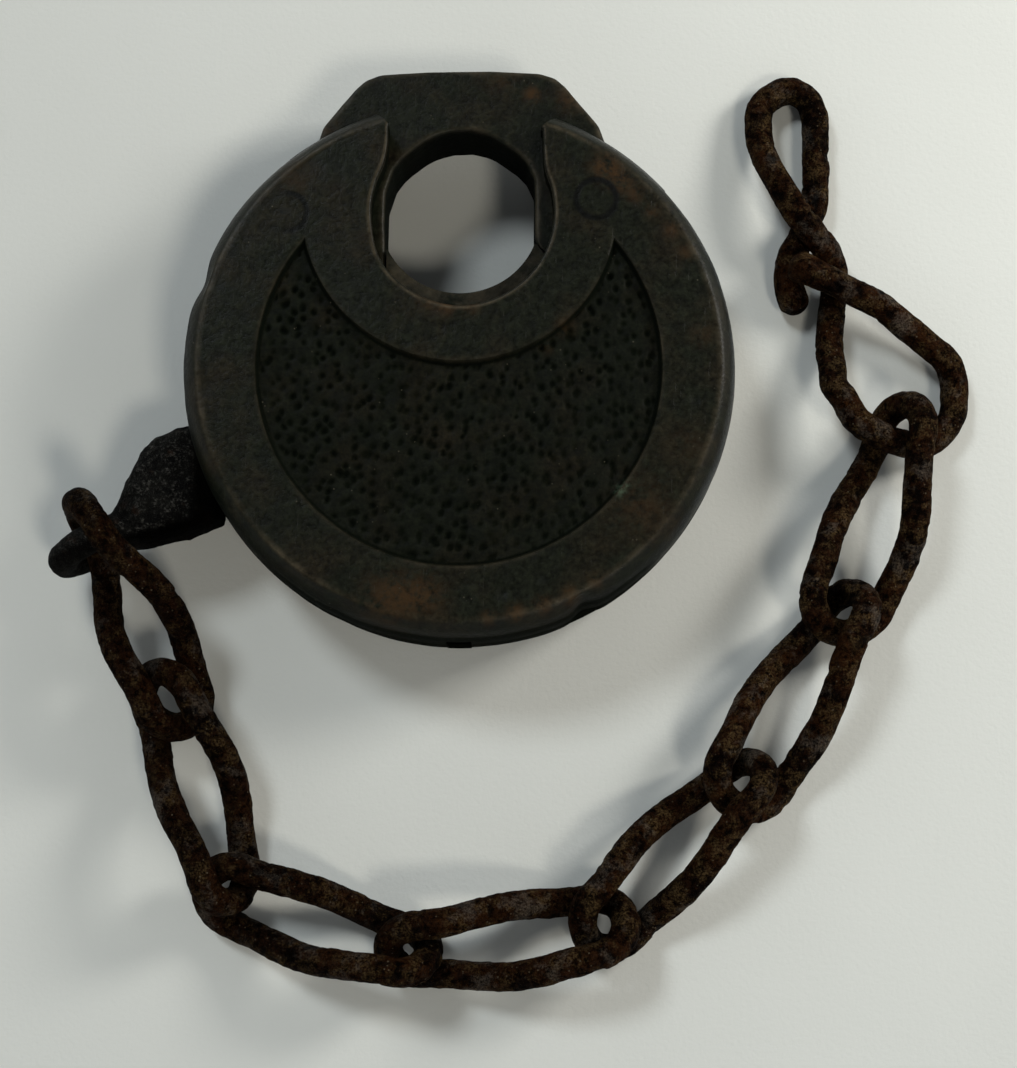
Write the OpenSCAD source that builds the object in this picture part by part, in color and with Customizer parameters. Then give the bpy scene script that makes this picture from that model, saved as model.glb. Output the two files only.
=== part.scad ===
// Round push-key lever padlock with a chain, lying on its back.
// The origin is the centre of the round case on its flat back. +Z comes out of the front face,
// +Y runs to the shackle and +X to the pivot side. Millimetres.

/* [Case] */
// Diameter of the round case
case_d = 64; // [63.6:0.1:64.6]
// Thickness of the closed case
case_t = 15; // [14.8:0.1:15.4]
// Thickness of each plate, front and back
plate_t = 3; // [2.6:0.1:3.1]
// Diameter of the flat faces inside the rounded shoulders
face_d = 59.2; // [58:0.1:60]
// Height of the rounded shoulder round each face
shoulder_h = 4.5; // [3.5:0.1:5.5]
// Depth of the recessed panel in the front face
recess_depth = 0.7; // [0.4:0.1:1]

/* [Shackle] */
// Thickness of the flat shackle
shackle_t = 8.4; // [8:0.1:8.5]
// Half of the gap between the shackle's legs
leg_gap = 8.7; // [8.5:0.1:8.8]
// Radius of the rivet that the shackle turns on
pivot_r = 2.25; // [2:0.05:2.4]

/* [Levers] */
// Thickness of one lever
lever_t = 1.2; // [1:0.05:1.25]
// Height from one lever to the next
lever_pitch = 1.4; // [1.35:0.01:1.42]

/* [Chain] */
// Diameter of the wire of the links
wire_d = 3.3; // [2.8:0.1:3.4]
// Thickness of the eye that holds the first link
eye_bar_d = 3.6; // [3:0.1:3.6]

/* [Hidden] */
$fn = 96;

case_r = case_d / 2;
face_r = face_d / 2;
wall_r = case_r - 3;                 // inside of the side wall
past = 1;                            // how far a cut runs past the face it opens
seam_z = case_t / 2;                 // where the two castings meet
room_top = case_t - plate_t;         // underside of the front plate
fit = 0.04;                          // running clearance on a radius

hole_c = [0, 18];                    // centre of the round opening in the case
hole_r = 10.9;
throat_w = 18.2;                     // gap between the two horns above the opening
collar_r = [9.35, 10.8];             // wall round the foot of the opening, between the legs
collar_span = [198, 342];
leg_room = 0.15;                     // from the collar's ends to the shackle's legs
keyway = [2.8, 6];                   // width and height of the key's slot in the side wall
guide_t = 2;                         // ribs that guide the key
guide_len = 10;
panel_c = [0, -0.6];
panel_r = 23.2;
crescent_r = 18.1;                   // raised crescent round the opening
mouth = [41, 129];                   // angles between which the side wall is open

pivot = [15.75, 19];                 // shackle's pivot
keeper = [-19.85, 17.4];             // fixed rivet on the other side
lever_c = [-17, -4];                 // lever post
spring_c = [21.65, -4.3];            // post of the shackle's spring
foot_x = 21;                         // lower rivets, left and right
foot_y = -15;
post_top = case_t - 1.6;             // the inner posts end blind in the front plate
post_r = 2;
stud_r = 1.25;                       // the spring's post is thinner

shackle_z = (case_t - shackle_t) / 2;
arch_c = [0.3, 19.1];                // inside of the bow
arch_r = 9.3;
boss_r = 4;                          // round the pivot
heel_r = 8;                          // pivot leg's rounded foot
notch_y = [10.4, 13.6];              // notch for the levers in the left leg's outer side
notch_x = [-19, -14];

lever_z = 3.4;                       // underside of the lowest lever
cuts = [0.4, 1.9, 1.1, 2.6, 0.8, 2.2];   // depth of each lever's belly, set by the key's steps
strip = 0.44;                        // thickness of a lever's leaf spring
leaf_c = [3.4, -5.8];                // a leaf spring is bent to an arc
leaf_r = 13;
leaf_span = [92, 175.8];
leaf_grip = 155;                     // from here to its end the leaf sits in the lever
ribbon = [19.4, 20.2];               // the shackle's spring, a broad ribbon bent to an arc
ribbon_c = [1.5, 3];
ribbon_z = [4.3, 10.7];

ring_r = 4;                          // eye: centreline radius of its ring
ring_c = [-42.5, -20.2, 7];
eye_dir = [-0.86, -0.51];            // the eye's direction away from the case
tenon = [6, 7.4];                    // width and height of the eye's root in the side wall
tenon_turn = 201.5;
wire_sides = 10;
bend_n = 10;                     // rings round each end of a link
side_n = 10;                   // rings along each of its sides

// ---------- small helpers ----------

function unit(v) = v / norm(v);
function smooth(t) = t * t * (3 - 2 * t);

module rod(at, r, z0, z1) {
    translate([at.x, at.y, z0]) cylinder(r = r, h = z1 - z0);
}

// Part of a flat ring, between two angles
module ring_sector(at, r_in, r_out, from, to, z0, z1) {
    translate([at.x, at.y, z0]) rotate([0, 0, from])
        rotate_extrude(angle = to - from) translate([r_in, 0]) square([r_out - r_in, z1 - z0]);
}

module wedge(from, to, z0, z1) {
    far = case_r + 10;
    translate([0, 0, z0]) linear_extrude(z1 - z0)
        polygon([[0, 0], far * [cos(from), sin(from)], far * [0, 1.4], far * [cos(to), sin(to)]]);
}

// ---------- case ----------

// Outline of half the case from the seam to its face: rounded shoulder, wall and plate
shell_outline = concat(
    [for (a = [0 : 10 : 90]) [face_r + (case_r - face_r) * sin(a), case_t - shoulder_h * (1 - cos(a))]],
    [[case_r, seam_z], [wall_r, seam_z], [wall_r, room_top], [0, room_top], [0, case_t]]);

// The opening, its throat and everything that both castings are cut by
module case_cuts() {
    rod(hole_c, hole_r, -past, case_t + past);
    translate([-throat_w / 2, hole_c.y, -past]) cube([throat_w, case_r, case_t + 2 * past]);
    wedge(mouth[0], mouth[1], plate_t, room_top);
    translate([-keyway[0] / 2, -case_r - past, (case_t - keyway[1]) / 2])
        cube([keyway[0], case_r - wall_r + 2 * past, keyway[1]]);
    for (at = [pivot, keeper]) rod(at, pivot_r + fit, -past, case_t + past);
    for (at = [[-foot_x, foot_y], [foot_x, foot_y], lever_c]) rod(at, post_r + fit, -past, post_top + fit);
    rod(spring_c, stud_r + fit, -past, post_top + fit);
    eye_tenon(fit);
}

module front_case() color([0.20, 0.18, 0.13]) difference() {
    rotate_extrude() polygon(shell_outline);
    case_cuts();
    difference() {
        rod(panel_c, panel_r, case_t - recess_depth, case_t + past);
        rod(hole_c, crescent_r, 0, case_t + 2 * past);
    }
}

module back_case() color([0.17, 0.15, 0.11]) {
    difference() {
        translate([0, 0, case_t]) rotate([180, 0, 0]) rotate_extrude() polygon(shell_outline);
        case_cuts();
    }
    ring_sector(hole_c, collar_r[0], hole_r + 0.3, collar_span[0], collar_span[1], 0, plate_t);
    difference() {
        ring_sector(hole_c, collar_r[0], collar_r[1], collar_span[0], collar_span[1], plate_t, room_top);
        translate([-case_r, 0, 0]) cube([case_r - leg_gap + leg_room, case_r, case_t]);
        rod(pivot, heel_r + leg_room, 0, case_t);
    }
    for (x = [-guide_t - keyway[0] / 2, keyway[0] / 2])
        translate([x, 0.5 - wall_r, plate_t]) cube([guide_t, guide_len, room_top - plate_t]);
}

// Flush rivets through the whole case
module shackle_rivet() color([0.26, 0.23, 0.16]) rod(pivot, pivot_r, 0, case_t);
module case_rivet() color([0.24, 0.21, 0.15]) rod(keeper, pivot_r, 0, case_t);
module lower_rivet_left() color([0.24, 0.21, 0.15]) rod([-foot_x, foot_y], post_r, 0, post_top);
module lower_rivet_right() color([0.24, 0.21, 0.15]) rod([foot_x, foot_y], post_r, 0, post_top);
module lever_post() color([0.45, 0.38, 0.22]) rod(lever_c, post_r, 0, post_top);
module spring_post() color([0.45, 0.38, 0.22]) rod(spring_c, stud_r, 0, post_top);

// ---------- shackle ----------

// Outside of the shackle from the locking leg over the top to the pivot leg
shackle_outline = [
    [-leg_gap, 7.6], [-13.6, 7.6], [-15, 8.9],
    [-15.9, 10.8], [-16.6, 14], [-17, 17.4], [-17.2, 21], [-16.9, 26.6],
    [-16.4, 28.8], [-12.2, 34], [-10.9, 34.9], [-9.4, 35.4], [-3.6, 35.8],
    [3.6, 35.8], [9.4, 35.4], [10.9, 34.9], [12.2, 34], [16.4, 28.8], [16.9, 26.6],
    [17.3, 25], [19.2, 21], [19, 18], [18.6, 14.6], [16.2, 12.4],   // then the heel, round the pivot
    for (a = [257, 247, 238, 229, 219, 208.4]) pivot + heel_r * [cos(a), sin(a)]];

module shackle() color([0.22, 0.19, 0.14]) translate([0, 0, shackle_z]) difference() {
    union() {
        linear_extrude(shackle_t) polygon(shackle_outline);
        rod(pivot, boss_r, 0, shackle_t);
    }
    translate([-leg_gap, 0, -past]) cube([2 * leg_gap, arch_c.y + boss_r, shackle_t + 2 * past]);
    rod(arch_c, arch_r, -past, shackle_t + past);
    rod(pivot, pivot_r + fit, -past, shackle_t + past);
    translate([notch_x[0], notch_y[0], -past])
        cube([notch_x[1] - notch_x[0], notch_y[1] - notch_y[0], shackle_t + 2 * past]);
}

module shackle_spring() color([0.35, 0.35, 0.36]) {
    difference() {
        union() {
            rod(spring_c, stud_r + 0.85, ribbon_z[0] - 0.5, ribbon_z[1] + 0.5);
            ring_sector(ribbon_c, ribbon[0], ribbon[1], -17, 31, ribbon_z[0], ribbon_z[1]);
        }
        rod(spring_c, stud_r + fit, 0, case_t);
    }
}

// ---------- levers ----------

// Flat bell crank: nose at the top left, pivot at the corner, belly over the key's path
function lever_outline(cut) = [
    [-23.3, 13.6], [-23.6, 8], [-21.2, -4], [-20.2, -6.8], [-17, -8.2], [-8, -8.4],
    [-4, -8.6], [-2.4, -9.4 - cut], [2.4, -9.4 - cut], [4, -8.2], [8, -7], [8.6, -5.4], [8, -4],
    [-3, -3.2], [-12.4, -1.4], [-15.2, 1], [-18, 7], [-18.9, 10.6],
    [-17.1, 11.1], [-17.1, 12.6], [-19.9, 13.2]];

module lever(i) color([0.62, 0.50, 0.24]) {
    z0 = lever_z + i * lever_pitch;
    difference() {
        translate([0, 0, z0]) linear_extrude(lever_t) polygon(lever_outline(cuts[i]));
        rod(lever_c, post_r + fit, z0 - past, z0 + lever_t + past);
        leaf(strip + 2 * fit, leaf_grip, leaf_span[1] + 0.2, z0 - past, z0 + lever_t + past);
    }
}

module leaf(t, from, to, z0, z1) {
    ring_sector(leaf_c, leaf_r - t / 2, leaf_r + t / 2, from, to, z0, z1);
}

module lever_spring(i) color([0.40, 0.40, 0.42]) {
    z0 = lever_z + i * lever_pitch;
    leaf(strip, leaf_span[0], leaf_span[1], z0 + 0.2, z0 + lever_t - 0.2);
}

// ---------- chain ----------

// Square tenon that sits in the side wall
module eye_tenon(gap) {
    rotate([0, 0, tenon_turn])
        translate([wall_r + 0.6 - gap, -tenon[0] / 2 - gap, (case_t - tenon[1]) / 2 - gap])
            cube([case_r - wall_r + 1, tenon[0] + 2 * gap, tenon[1] + 2 * gap]);
}

eye_foot = [[-31.5, -6], [-35, -7.3], [-37.3, -9.3], [-38.6, -12.5], [-40.2, -15.8],
            [-37.4, -20.2], [-34.5, -19.7], [-31.5, -19.1], [-27, -17.5], [-24, -13]];
eye_top = [[-30, -8.2], [-33.4, -8.7], [-36.5, -11.7], [-38.1, -15.7],
           [-36.3, -18], [-31, -17.6], [-27, -14]];

// Forged eye: a lump on the side wall that runs out into an upright ring
module chain_eye() color([0.13, 0.12, 0.11]) {
    difference() {
        hull() {
            translate([0, 0, 2.2]) linear_extrude(6.3) polygon(eye_foot);
            translate([0, 0, 1.2]) linear_extrude(1) offset(delta = -1) polygon(eye_foot);
            translate([0, 0, 11.2]) linear_extrude(0.5) polygon(eye_top);
        }
        rod([0, 0], case_r + fit, 0, case_t);
        at_ring() cylinder(r = ring_r, h = 30, center = true);
    }
    eye_tenon(0);
    at_ring() rotate_extrude() translate([ring_r, 0]) circle(d = eye_bar_d, $fn = 24);
}

// Stands a shape made about +Z upright in the plane of the eye's ring
module at_ring() {
    translate(ring_c) rotate([0, 0, atan2(eye_dir.y, eye_dir.x)]) rotate([90, 0, 0]) children();
}

// One closed wire link. a and b are its two tips on the centreline; w is half its width at each
// end; roll turns each end about the link's length; bow bends the link sideways.
// Each entry of the run is [distance along / length, -1..1 across, 0..1 from a to b].
function link_run(len, w) = concat(
    [for (i = [0 : bend_n - 1]) let (q = 180 * i / bend_n - 90) [w[0] * (1 - cos(q)), sin(q), 0]],
    [for (i = [0 : side_n - 1]) let (t = i / side_n)
        [w[0] + (len - w[0] - w[1]) * t, 1, smooth(t)]],
    [for (i = [0 : bend_n - 1]) let (q = 90 - 180 * i / bend_n) [len - w[1] * (1 - cos(q)), sin(q), 1]],
    [for (i = [0 : side_n - 1]) let (t = 1 - i / side_n)
        [w[0] + (len - w[0] - w[1]) * t, -1, smooth(t)]]);

module tube(points, normals, closed) {
    n = len(points);
    rings = [for (i = [0 : n - 1])
        let (before = points[closed ? (i + n - 1) % n : max(i - 1, 0)],
             after = points[closed ? (i + 1) % n : min(i + 1, n - 1)],
             t = unit(after - before),
             u = unit(normals[i] - (normals[i] * t) * t),
             v = cross(t, u))
        for (k = [0 : wire_sides - 1]) let (q = 360 * k / wire_sides)
            points[i] + wire_d / 2 * (cos(q) * u + sin(q) * v)];
    side_faces = [for (i = [0 : (closed ? n : n - 1) - 1]) for (k = [0 : wire_sides - 1])
        let (j = (i + 1) % n, m = (k + 1) % wire_sides)
        each [[i * wire_sides + k, i * wire_sides + m, j * wire_sides + m],
              [i * wire_sides + k, j * wire_sides + m, j * wire_sides + k]]];
    caps = closed ? [] : [[for (k = [wire_sides - 1 : -1 : 0]) k],
                          [for (k = [0 : wire_sides - 1]) (n - 1) * wire_sides + k]];
    polyhedron(points = rings, faces = concat(side_faces, caps), convexity = 6);
}

module chain_link(a, b, w, roll, bow) {
    level = norm([b.x - a.x, b.y - a.y]);
    along = (b - a) / level;
    across = unit([a.y - b.y, b.x - a.x, 0]);
    run = link_run(level, w);
    lean = [for (p = run) let (r = roll[0] + (roll[1] - roll[0]) * p[2]) cos(r) * across + [0, 0, sin(r)]];
    points = [for (i = [0 : len(run) - 1])
        let (p = run[i], u = p[0] / level, half = w[0] + (w[1] - w[0]) * p[2])
        a + along * p[0] + across * bow * 4 * u * (1 - u) + lean[i] * half * p[1]];
    normals = [for (side = lean) cross(along, side)];
    color([0.20, 0.14, 0.10]) tube(points, normals, true);
}

module link_1() chain_link([-43.5, -16, 11.7], [-32, -41, 4.5], [4.0, 3.7], [75, -41], 0.7);
module link_2() chain_link([-35.5, -35, 5.2], [-26, -61, 4.9], [3.8, 3.9], [39, -57], 0.8);
module link_3() chain_link([-29, -59, 3.6], [-3.5, -67, 5.2], [3.8, 3.7], [30, -50], -0.7);
module link_4() chain_link([-8, -66.5, 4.5], [19, -63, 4.9], [3.7, 4.0], [39, -40], -0.7);
module link_5() chain_link([15, -65.5, 3.9], [34.5, -45.5, 4.9], [4.0, 3.7], [33, -56], 0.2);
module link_6() chain_link([31.5, -50, 4.2], [46.5, -25.5, 4.7], [4.6, 3.6], [26, -56], 0);
module link_7() chain_link([43.5, -30, 4.7], [53, -3, 4.9], [4.9, 3.7], [26, -57], -0.9);

// Last link: one wire, a wide loop and a narrow loop with the neck between them wound round itself
end_route = [
    [39.5, 14.5, 5.3], [43.5, 12.5, 5.3], [48, 10.5, 4.6], [51, 9, 4], [53.5, 7, 3.4],
    [56, 5, 2.9], [58.5, 3, 2.4], [59.5, 0.5, 2], [59.5, -1.5, 1.8], [59, -4, 1.8],
    [57, -6.5, 1.8], [54.5, -7.5, 2.6], [51.8, -7.5, 4.9], [48.5, -6.5, 6.4], [46.5, -5, 6.4],
    [45.5, -2.5, 5.4], [44.5, -0.5, 4.7], [44.5, 2, 3.6], [44.5, 5, 2.4], [45, 9.5, 1.8],
    [45.5, 13.5, 1.8], [44.5, 16, 3.2], [42.5, 18, 5.1], [40.5, 20.5, 5.4], [38.5, 24.5, 4.6],
    [37, 28.5, 3.2], [36.5, 32, 2.2], [37, 35.5, 1.8], [40, 37.5, 1.8], [42.5, 36.5, 1.8],
    [43.5, 34, 1.8], [43.5, 30, 1.8], [43.5, 26, 1.8], [43, 22, 1.8], [41.5, 18.5, 1.8],
    [40, 15.5, 1.8], [40, 12, 1.8], [41, 9, 1.8]];

// Point on the smooth curve through the route, t = 0..1 between points i and i + 1
function route_point(p, i, t) = let (n = len(p) - 1,
    a = p[max(i - 1, 0)], b = p[i], c = p[min(i + 1, n)], d = p[min(i + 2, n)])
    0.5 * (2 * b + (c - a) * t + (2 * a - 5 * b + 4 * c - d) * t * t + (3 * b - 3 * c + d - a) * t * t * t);

module end_link() color([0.23, 0.17, 0.11]) {
    points = concat([for (i = [0 : len(end_route) - 2]) for (t = [0, 0.5]) route_point(end_route, i, t)],
                    [end_route[len(end_route) - 1]]);
    tube(points, [for (p = points) [0, 0, 1]], false);
}

back_case();
front_case();
shackle();
shackle_rivet();
case_rivet();
lower_rivet_left();
lower_rivet_right();
lever_post();
spring_post();
lever(0);  // lever_1
lever(1);  // lever_2
lever(2);  // lever_3
lever(3);  // lever_4
lever(4);  // lever_5
lever(5);  // lever_6
lever_spring(0);  // lever_spring_1
lever_spring(1);  // lever_spring_2
lever_spring(2);  // lever_spring_3
lever_spring(3);  // lever_spring_4
lever_spring(4);  // lever_spring_5
lever_spring(5);  // lever_spring_6
shackle_spring();
chain_eye();
link_1();
link_2();
link_3();
link_4();
link_5();
link_6();
link_7();
end_link();
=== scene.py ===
"""Looks of a round push-key padlock with a chain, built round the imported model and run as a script.

Shapes are worked out in millimetres and written in metres. The opening for the shackle is centred
at (0, OPENING_Y) and the case at the origin. Angles in degrees start at +X and go round +Z.
"""
import math

import bpy
import numpy as np
from bpy.props import FloatProperty, FloatVectorProperty
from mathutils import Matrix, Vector


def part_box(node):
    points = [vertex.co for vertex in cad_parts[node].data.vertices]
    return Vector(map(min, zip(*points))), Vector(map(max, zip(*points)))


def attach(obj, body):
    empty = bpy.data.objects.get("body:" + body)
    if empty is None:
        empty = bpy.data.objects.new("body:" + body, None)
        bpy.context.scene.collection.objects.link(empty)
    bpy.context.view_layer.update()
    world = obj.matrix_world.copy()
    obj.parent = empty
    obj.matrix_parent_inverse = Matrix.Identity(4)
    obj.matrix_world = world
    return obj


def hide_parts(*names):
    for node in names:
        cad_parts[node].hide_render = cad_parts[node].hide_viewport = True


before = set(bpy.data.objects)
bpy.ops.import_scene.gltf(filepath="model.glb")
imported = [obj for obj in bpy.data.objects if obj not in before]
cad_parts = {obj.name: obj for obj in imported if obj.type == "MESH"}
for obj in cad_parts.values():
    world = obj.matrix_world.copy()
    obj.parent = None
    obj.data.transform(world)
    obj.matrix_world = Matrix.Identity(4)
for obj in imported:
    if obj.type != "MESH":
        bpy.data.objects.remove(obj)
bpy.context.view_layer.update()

bl_info = {
    "name": "Round padlock",
    "version": (1, 0, 0),
    "blender": (4, 5, 0),
    "location": "View3D > Sidebar > Padlock",
    "description": "Finished castings, shackle, rivets and rusty chain of a round padlock",
    "category": "Object",
}

MM = 0.001


def corners(node):
    """Lowest and highest corner of a node, in millimetres."""
    low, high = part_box(node)
    return np.array(low) / MM, np.array(high) / MM


def middle(node):
    """Centre of a node seen from above, in millimetres."""
    low, high = corners(node)
    return (low[:2] + high[:2]) / 2


FRONT_LOW, FRONT_HIGH = corners("front_case")
SHACKLE_LOW, SHACKLE_HIGH = corners("shackle")
CASE_R = round(-FRONT_LOW[1], 1)
CASE_T = FRONT_HIGH[2]
SEAM_Z = FRONT_LOW[2]
OPENING_Y = 18.0
PIVOT = middle("shackle_rivet")
KEEPER = middle("case_rivet")
LEG_GAP = 8.7
HEEL_R = 8.0
ARCH = np.array([0.3, 19.1])


# ---------- sizes and colours ----------

def size(name, default, low, high, description):
    """Property for a size in millimetres, from low to high."""
    return FloatProperty(name=name, default=default, min=low, max=high, description=description)


def colour(name, default, description):
    """Property for a colour, as linear values."""
    return FloatVectorProperty(name=name, subtype="COLOR", default=default, description=description)


class CaseSizes(bpy.types.PropertyGroup):
    """Sizes of the two castings and their wear, in millimetres."""
    face_radius: size("Face radius", 29.6, 28, 31, "Radius of the flat faces inside the rounded shoulders")
    shoulder: size("Shoulder", 4.5, 3, 6, "Height of the rounded shoulder")
    wall: size("Wall", 3.0, 2, 4, "Thickness of the side wall and of the plates")
    recess: size("Recess", 0.75, 0.3, 1, "Depth of the panel in the front face")
    punch_spacing: size("Punch spacing", 1.38, 1, 3, "Distance from one punch mark in the panel to the next")
    punch_depth: size("Punch depth", 0.5, 0, 0.7, "Depth of a punch mark")


class ChainSizes(bpy.types.PropertyGroup):
    """Sizes of the chain's wire and rust, in millimetres."""
    wire: size("Wire", 3.3, 2.5, 3.4, "Diameter of the wire")
    lumps: size("Lumps", 0.13, 0, 0.2, "How far the rusted surface rises and falls")


class Finish(bpy.types.PropertyGroup):
    """Colours of the metal, the rust and the table, as linear values."""
    iron: colour("Iron", (0.0056, 0.0066, 0.0034), "Dark patina of the castings")
    iron_brown: colour("Brown iron", (0.0105, 0.0082, 0.0040), "Browner patches of the patina")
    # painted blue sheen on the sides of the castings and shackle
    iron_blue_sheen: colour("Blue iron", (0.0072, 0.0090, 0.0100), "Cooler patches on the sides")
    # worn edges, with painted glints where edges catch the light
    worn_and_glint: colour("Worn edge", (0.080, 0.064, 0.040), "Bare metal on worn edges")
    rust: colour("Rust", (0.040, 0.0185, 0.0042), "Orange rust stains on the castings")
    verdigris: colour("Verdigris", (0.055, 0.080, 0.050), "Green specks")
    chain_dark: colour("Dark chain", (0.0034, 0.0014, 0.0006), "Dark rust of the chain")
    chain_red: colour("Red chain", (0.0290, 0.0105, 0.0030), "Red-brown rust of the chain")
    chain_olive: colour("Olive chain", (0.0660, 0.0410, 0.0170), "Yellow-brown scale on the chain")
    brass: colour("Brass", (0.42, 0.29, 0.10), "Levers and inner posts")
    steel: colour("Spring steel", (0.13, 0.14, 0.17), "Springs")
    table: colour("Table", (0.690, 0.700, 0.660), "Pale table top")


def settings(group):
    """The scene's values of one property group: case, chain, finish or stage."""
    return getattr(bpy.context.scene, "padlock_" + group)


# ---------- shape helpers ----------

def ease(low, high, x):
    """Rises smoothly from 0 at low to 1 at high: 3t^2 - 2t^3 of the clipped share t."""
    t = np.clip((x - low) / (high - low), 0, 1)
    return t * t * (3 - 2 * t)


def hashed(ix, iy, iz, seed):
    """A fixed pseudo-random number from 0 to 1 for each lattice point: the fraction of a large sine."""
    n = np.sin(ix * 127.1 + iy * 311.7 + iz * 74.7 + seed * 53.37) * 43758.5453
    return n - np.floor(n)


def noise(points, size, seed):
    """Smooth noise from -1 to 1: hashed values on a cubic lattice of that size in millimetres,
    eased between the eight corners of each cell."""
    q = points / size
    base = np.floor(q)
    f = q - base
    f = f * f * (3 - 2 * f)
    total = np.zeros(points.shape[:-1])
    for corner in np.ndindex(2, 2, 2):
        share = np.prod(np.where(np.array(corner) == 1, f, 1 - f), axis=-1)
        cell = base + np.array(corner)
        total += share * hashed(cell[..., 0], cell[..., 1], cell[..., 2], seed)
    return 2 * total - 1


def rough(points, size, seed, octaves=3):
    """Noise of halving sizes and heights added up, from about -1 to 1."""
    total = sum(noise(points, size / 2 ** k, seed + k) / 2 ** k for k in range(octaves))
    return total / (2 - 2 ** (1 - octaves))


def punched(x, y, spacing, seed):
    """Punch marks from 0 to 1: a bell round the nearest of one shifted point in each cell of a turned
    square grid."""
    u, v = (0.86 * x + 0.51 * y) / spacing, (0.86 * y - 0.51 * x) / spacing
    nearest = np.full(x.shape, 9.0)
    for i, j in np.ndindex(3, 3):
        cx = np.floor(u) + i - 1
        cy = np.floor(v) + j - 1
        px = cx + 0.5 + 0.9 * (hashed(cx, cy, 1.0, seed) - 0.5)
        py = cy + 0.5 + 0.9 * (hashed(cx, cy, 2.0, seed) - 0.5)
        nearest = np.minimum(nearest, (u - px) ** 2 + (v - py) ** 2)
    return np.exp(-(nearest / 0.070) ** 1.2)


def bell(x, centre, width):
    """A bell from 0 to 1: e to the minus square of (x - centre) / width."""
    return np.exp(-((x - centre) / width) ** 2)


def bells(x, y, places):
    """Round bells of the given (x, y, radius, height) added up."""
    total = np.zeros(x.shape)
    for px, py, radius, height in places:
        total += height * np.exp(-((x - px) ** 2 + (y - py) ** 2) / radius ** 2)
    return total


def through(knots, x):
    """Smooth curve through (position, value) knots: cubic pieces with the slopes of their neighbours."""
    at, value = np.array(knots, float).T
    slope = np.gradient(value, at)
    i = np.clip(np.searchsorted(at, x) - 1, 0, len(at) - 2)
    h = at[i + 1] - at[i]
    t = np.clip((x - at[i]) / h, 0, 1)
    rise = (2 * t ** 3 - 3 * t ** 2 + 1) * value[i] + (3 * t ** 2 - 2 * t ** 3) * value[i + 1]
    return rise + h * ((t ** 3 - 2 * t ** 2 + t) * slope[i] + (t ** 3 - t ** 2) * slope[i + 1])


def steps(start, end, count):
    """count rows from start towards end, without end: a straight blend."""
    t = np.linspace(0, 1, count, endpoint=False)[:, None]
    return start + (end - start) * t


def unit(v):
    """Vectors divided by their lengths."""
    return v / np.linalg.norm(v, axis=-1, keepdims=True)


def around(count):
    """count even turns of a full circle, in radians."""
    return np.linspace(0, 2 * math.pi, count, endpoint=False)


def stacked(*parts):
    """Coordinates spread to one shape and put together along a last axis."""
    return np.stack(np.broadcast_arrays(*parts), axis=-1)


def raised(flat, z):
    """Points (x, y, z) from points (x, y) and their heights."""
    return np.concatenate([flat, z[..., None]], axis=-1)


def grid_faces(n_u, n_v, round_u, round_v=True):
    """Four-sided faces of a grid of points, joined up in the directions that go round."""
    u = np.arange(n_u if round_u else n_u - 1)[:, None]
    v = np.arange(n_v if round_v else n_v - 1)[None, :]
    u2, v2 = (u + 1) % n_u, (v + 1) % n_v
    faces = np.stack([u * n_v + v, u2 * n_v + v, u2 * n_v + v2, u * n_v + v2], axis=-1)
    return faces.reshape(-1, 4)


def volume_of(points, faces):
    """Six times the signed volume: triple products of each face's two triangles, added up."""
    a, b, c, d = (points[faces[:, k]] for k in range(4))
    return np.sum(np.cross(a, b) * c) + np.sum(np.cross(a, c) * d)


def placed(name, data):
    """A new object in the scene, at the origin."""
    thing = bpy.data.objects.new(name, data)
    bpy.context.scene.collection.objects.link(thing)
    return thing


def put_mark(mesh, name, values):
    """Keeps one number per point on the mesh, for the materials."""
    layer = mesh.attributes.new(name, "FLOAT", "POINT")
    layer.data.foreach_set("value", np.array(values, np.float32).ravel())


def get_points(mesh):
    """The mesh's points (n, 3), in millimetres."""
    points = np.zeros(3 * len(mesh.vertices), np.float32)
    mesh.vertices.foreach_get("co", points)
    return points.reshape(-1, 3).astype(float) / MM


def set_points(mesh, points):
    """Moves the mesh's points to these places, in millimetres."""
    mesh.vertices.foreach_set("co", (points * MM).astype(np.float32).ravel())


def smoothed(mesh):
    """Shades every face of the mesh smoothly."""
    mesh.polygons.foreach_set("use_smooth", np.ones(len(mesh.polygons), bool))


def skin(name, grid, round_u, marks=None, sharp=40):
    """Object made of a grid of points (n_u, n_v, 3) in millimetres that goes round in v. Open ends
    are closed by a flat face each. marks are named values, one per point. Edges sharper than sharp
    degrees stay crisp. Faces point outwards."""
    n_u, n_v = grid.shape[:2]
    points = grid.reshape(-1, 3)
    faces = grid_faces(n_u, n_v, round_u)
    outwards = volume_of(points - points.mean(axis=0), faces) > 0
    polygons = (faces if outwards else faces[:, ::-1]).tolist()
    if not round_u:
        first = list(range(n_v))
        last = list(range((n_u - 1) * n_v, n_u * n_v))
        polygons += [first, last[::-1]] if outwards else [first[::-1], last]
    mesh = bpy.data.meshes.new(name)
    mesh.from_pydata((points * MM).tolist(), [], polygons)
    smoothed(mesh)
    mesh.set_sharp_from_angle(angle=math.radians(sharp))
    for mark, values in (marks or {}).items():
        put_mark(mesh, mark, np.broadcast_to(values, (n_u, n_v)))
    return placed(name, mesh)


def joined(name, pieces):
    """One object from several, at the origin."""
    with bpy.context.temp_override(active_object=pieces[0], selected_editable_objects=pieces):
        bpy.ops.object.join()
    pieces[0].name = name
    pieces[0].data.name = name
    return pieces[0]


def dress(piece, material):
    """Gives a piece one material, by name."""
    piece.data.materials.clear()
    piece.data.materials.append(bpy.data.materials[material])


def finished(piece, body, slot, material, *nodes):
    """Gives a piece its material and its body, and hides the nodes that it stands for. slot is not used."""
    dress(piece, material)
    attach(piece, body)
    if nodes:
        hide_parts(*nodes)


# ---------- materials ----------

# near black painted shade for hollows, insides and the sides away from the lamps
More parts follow.
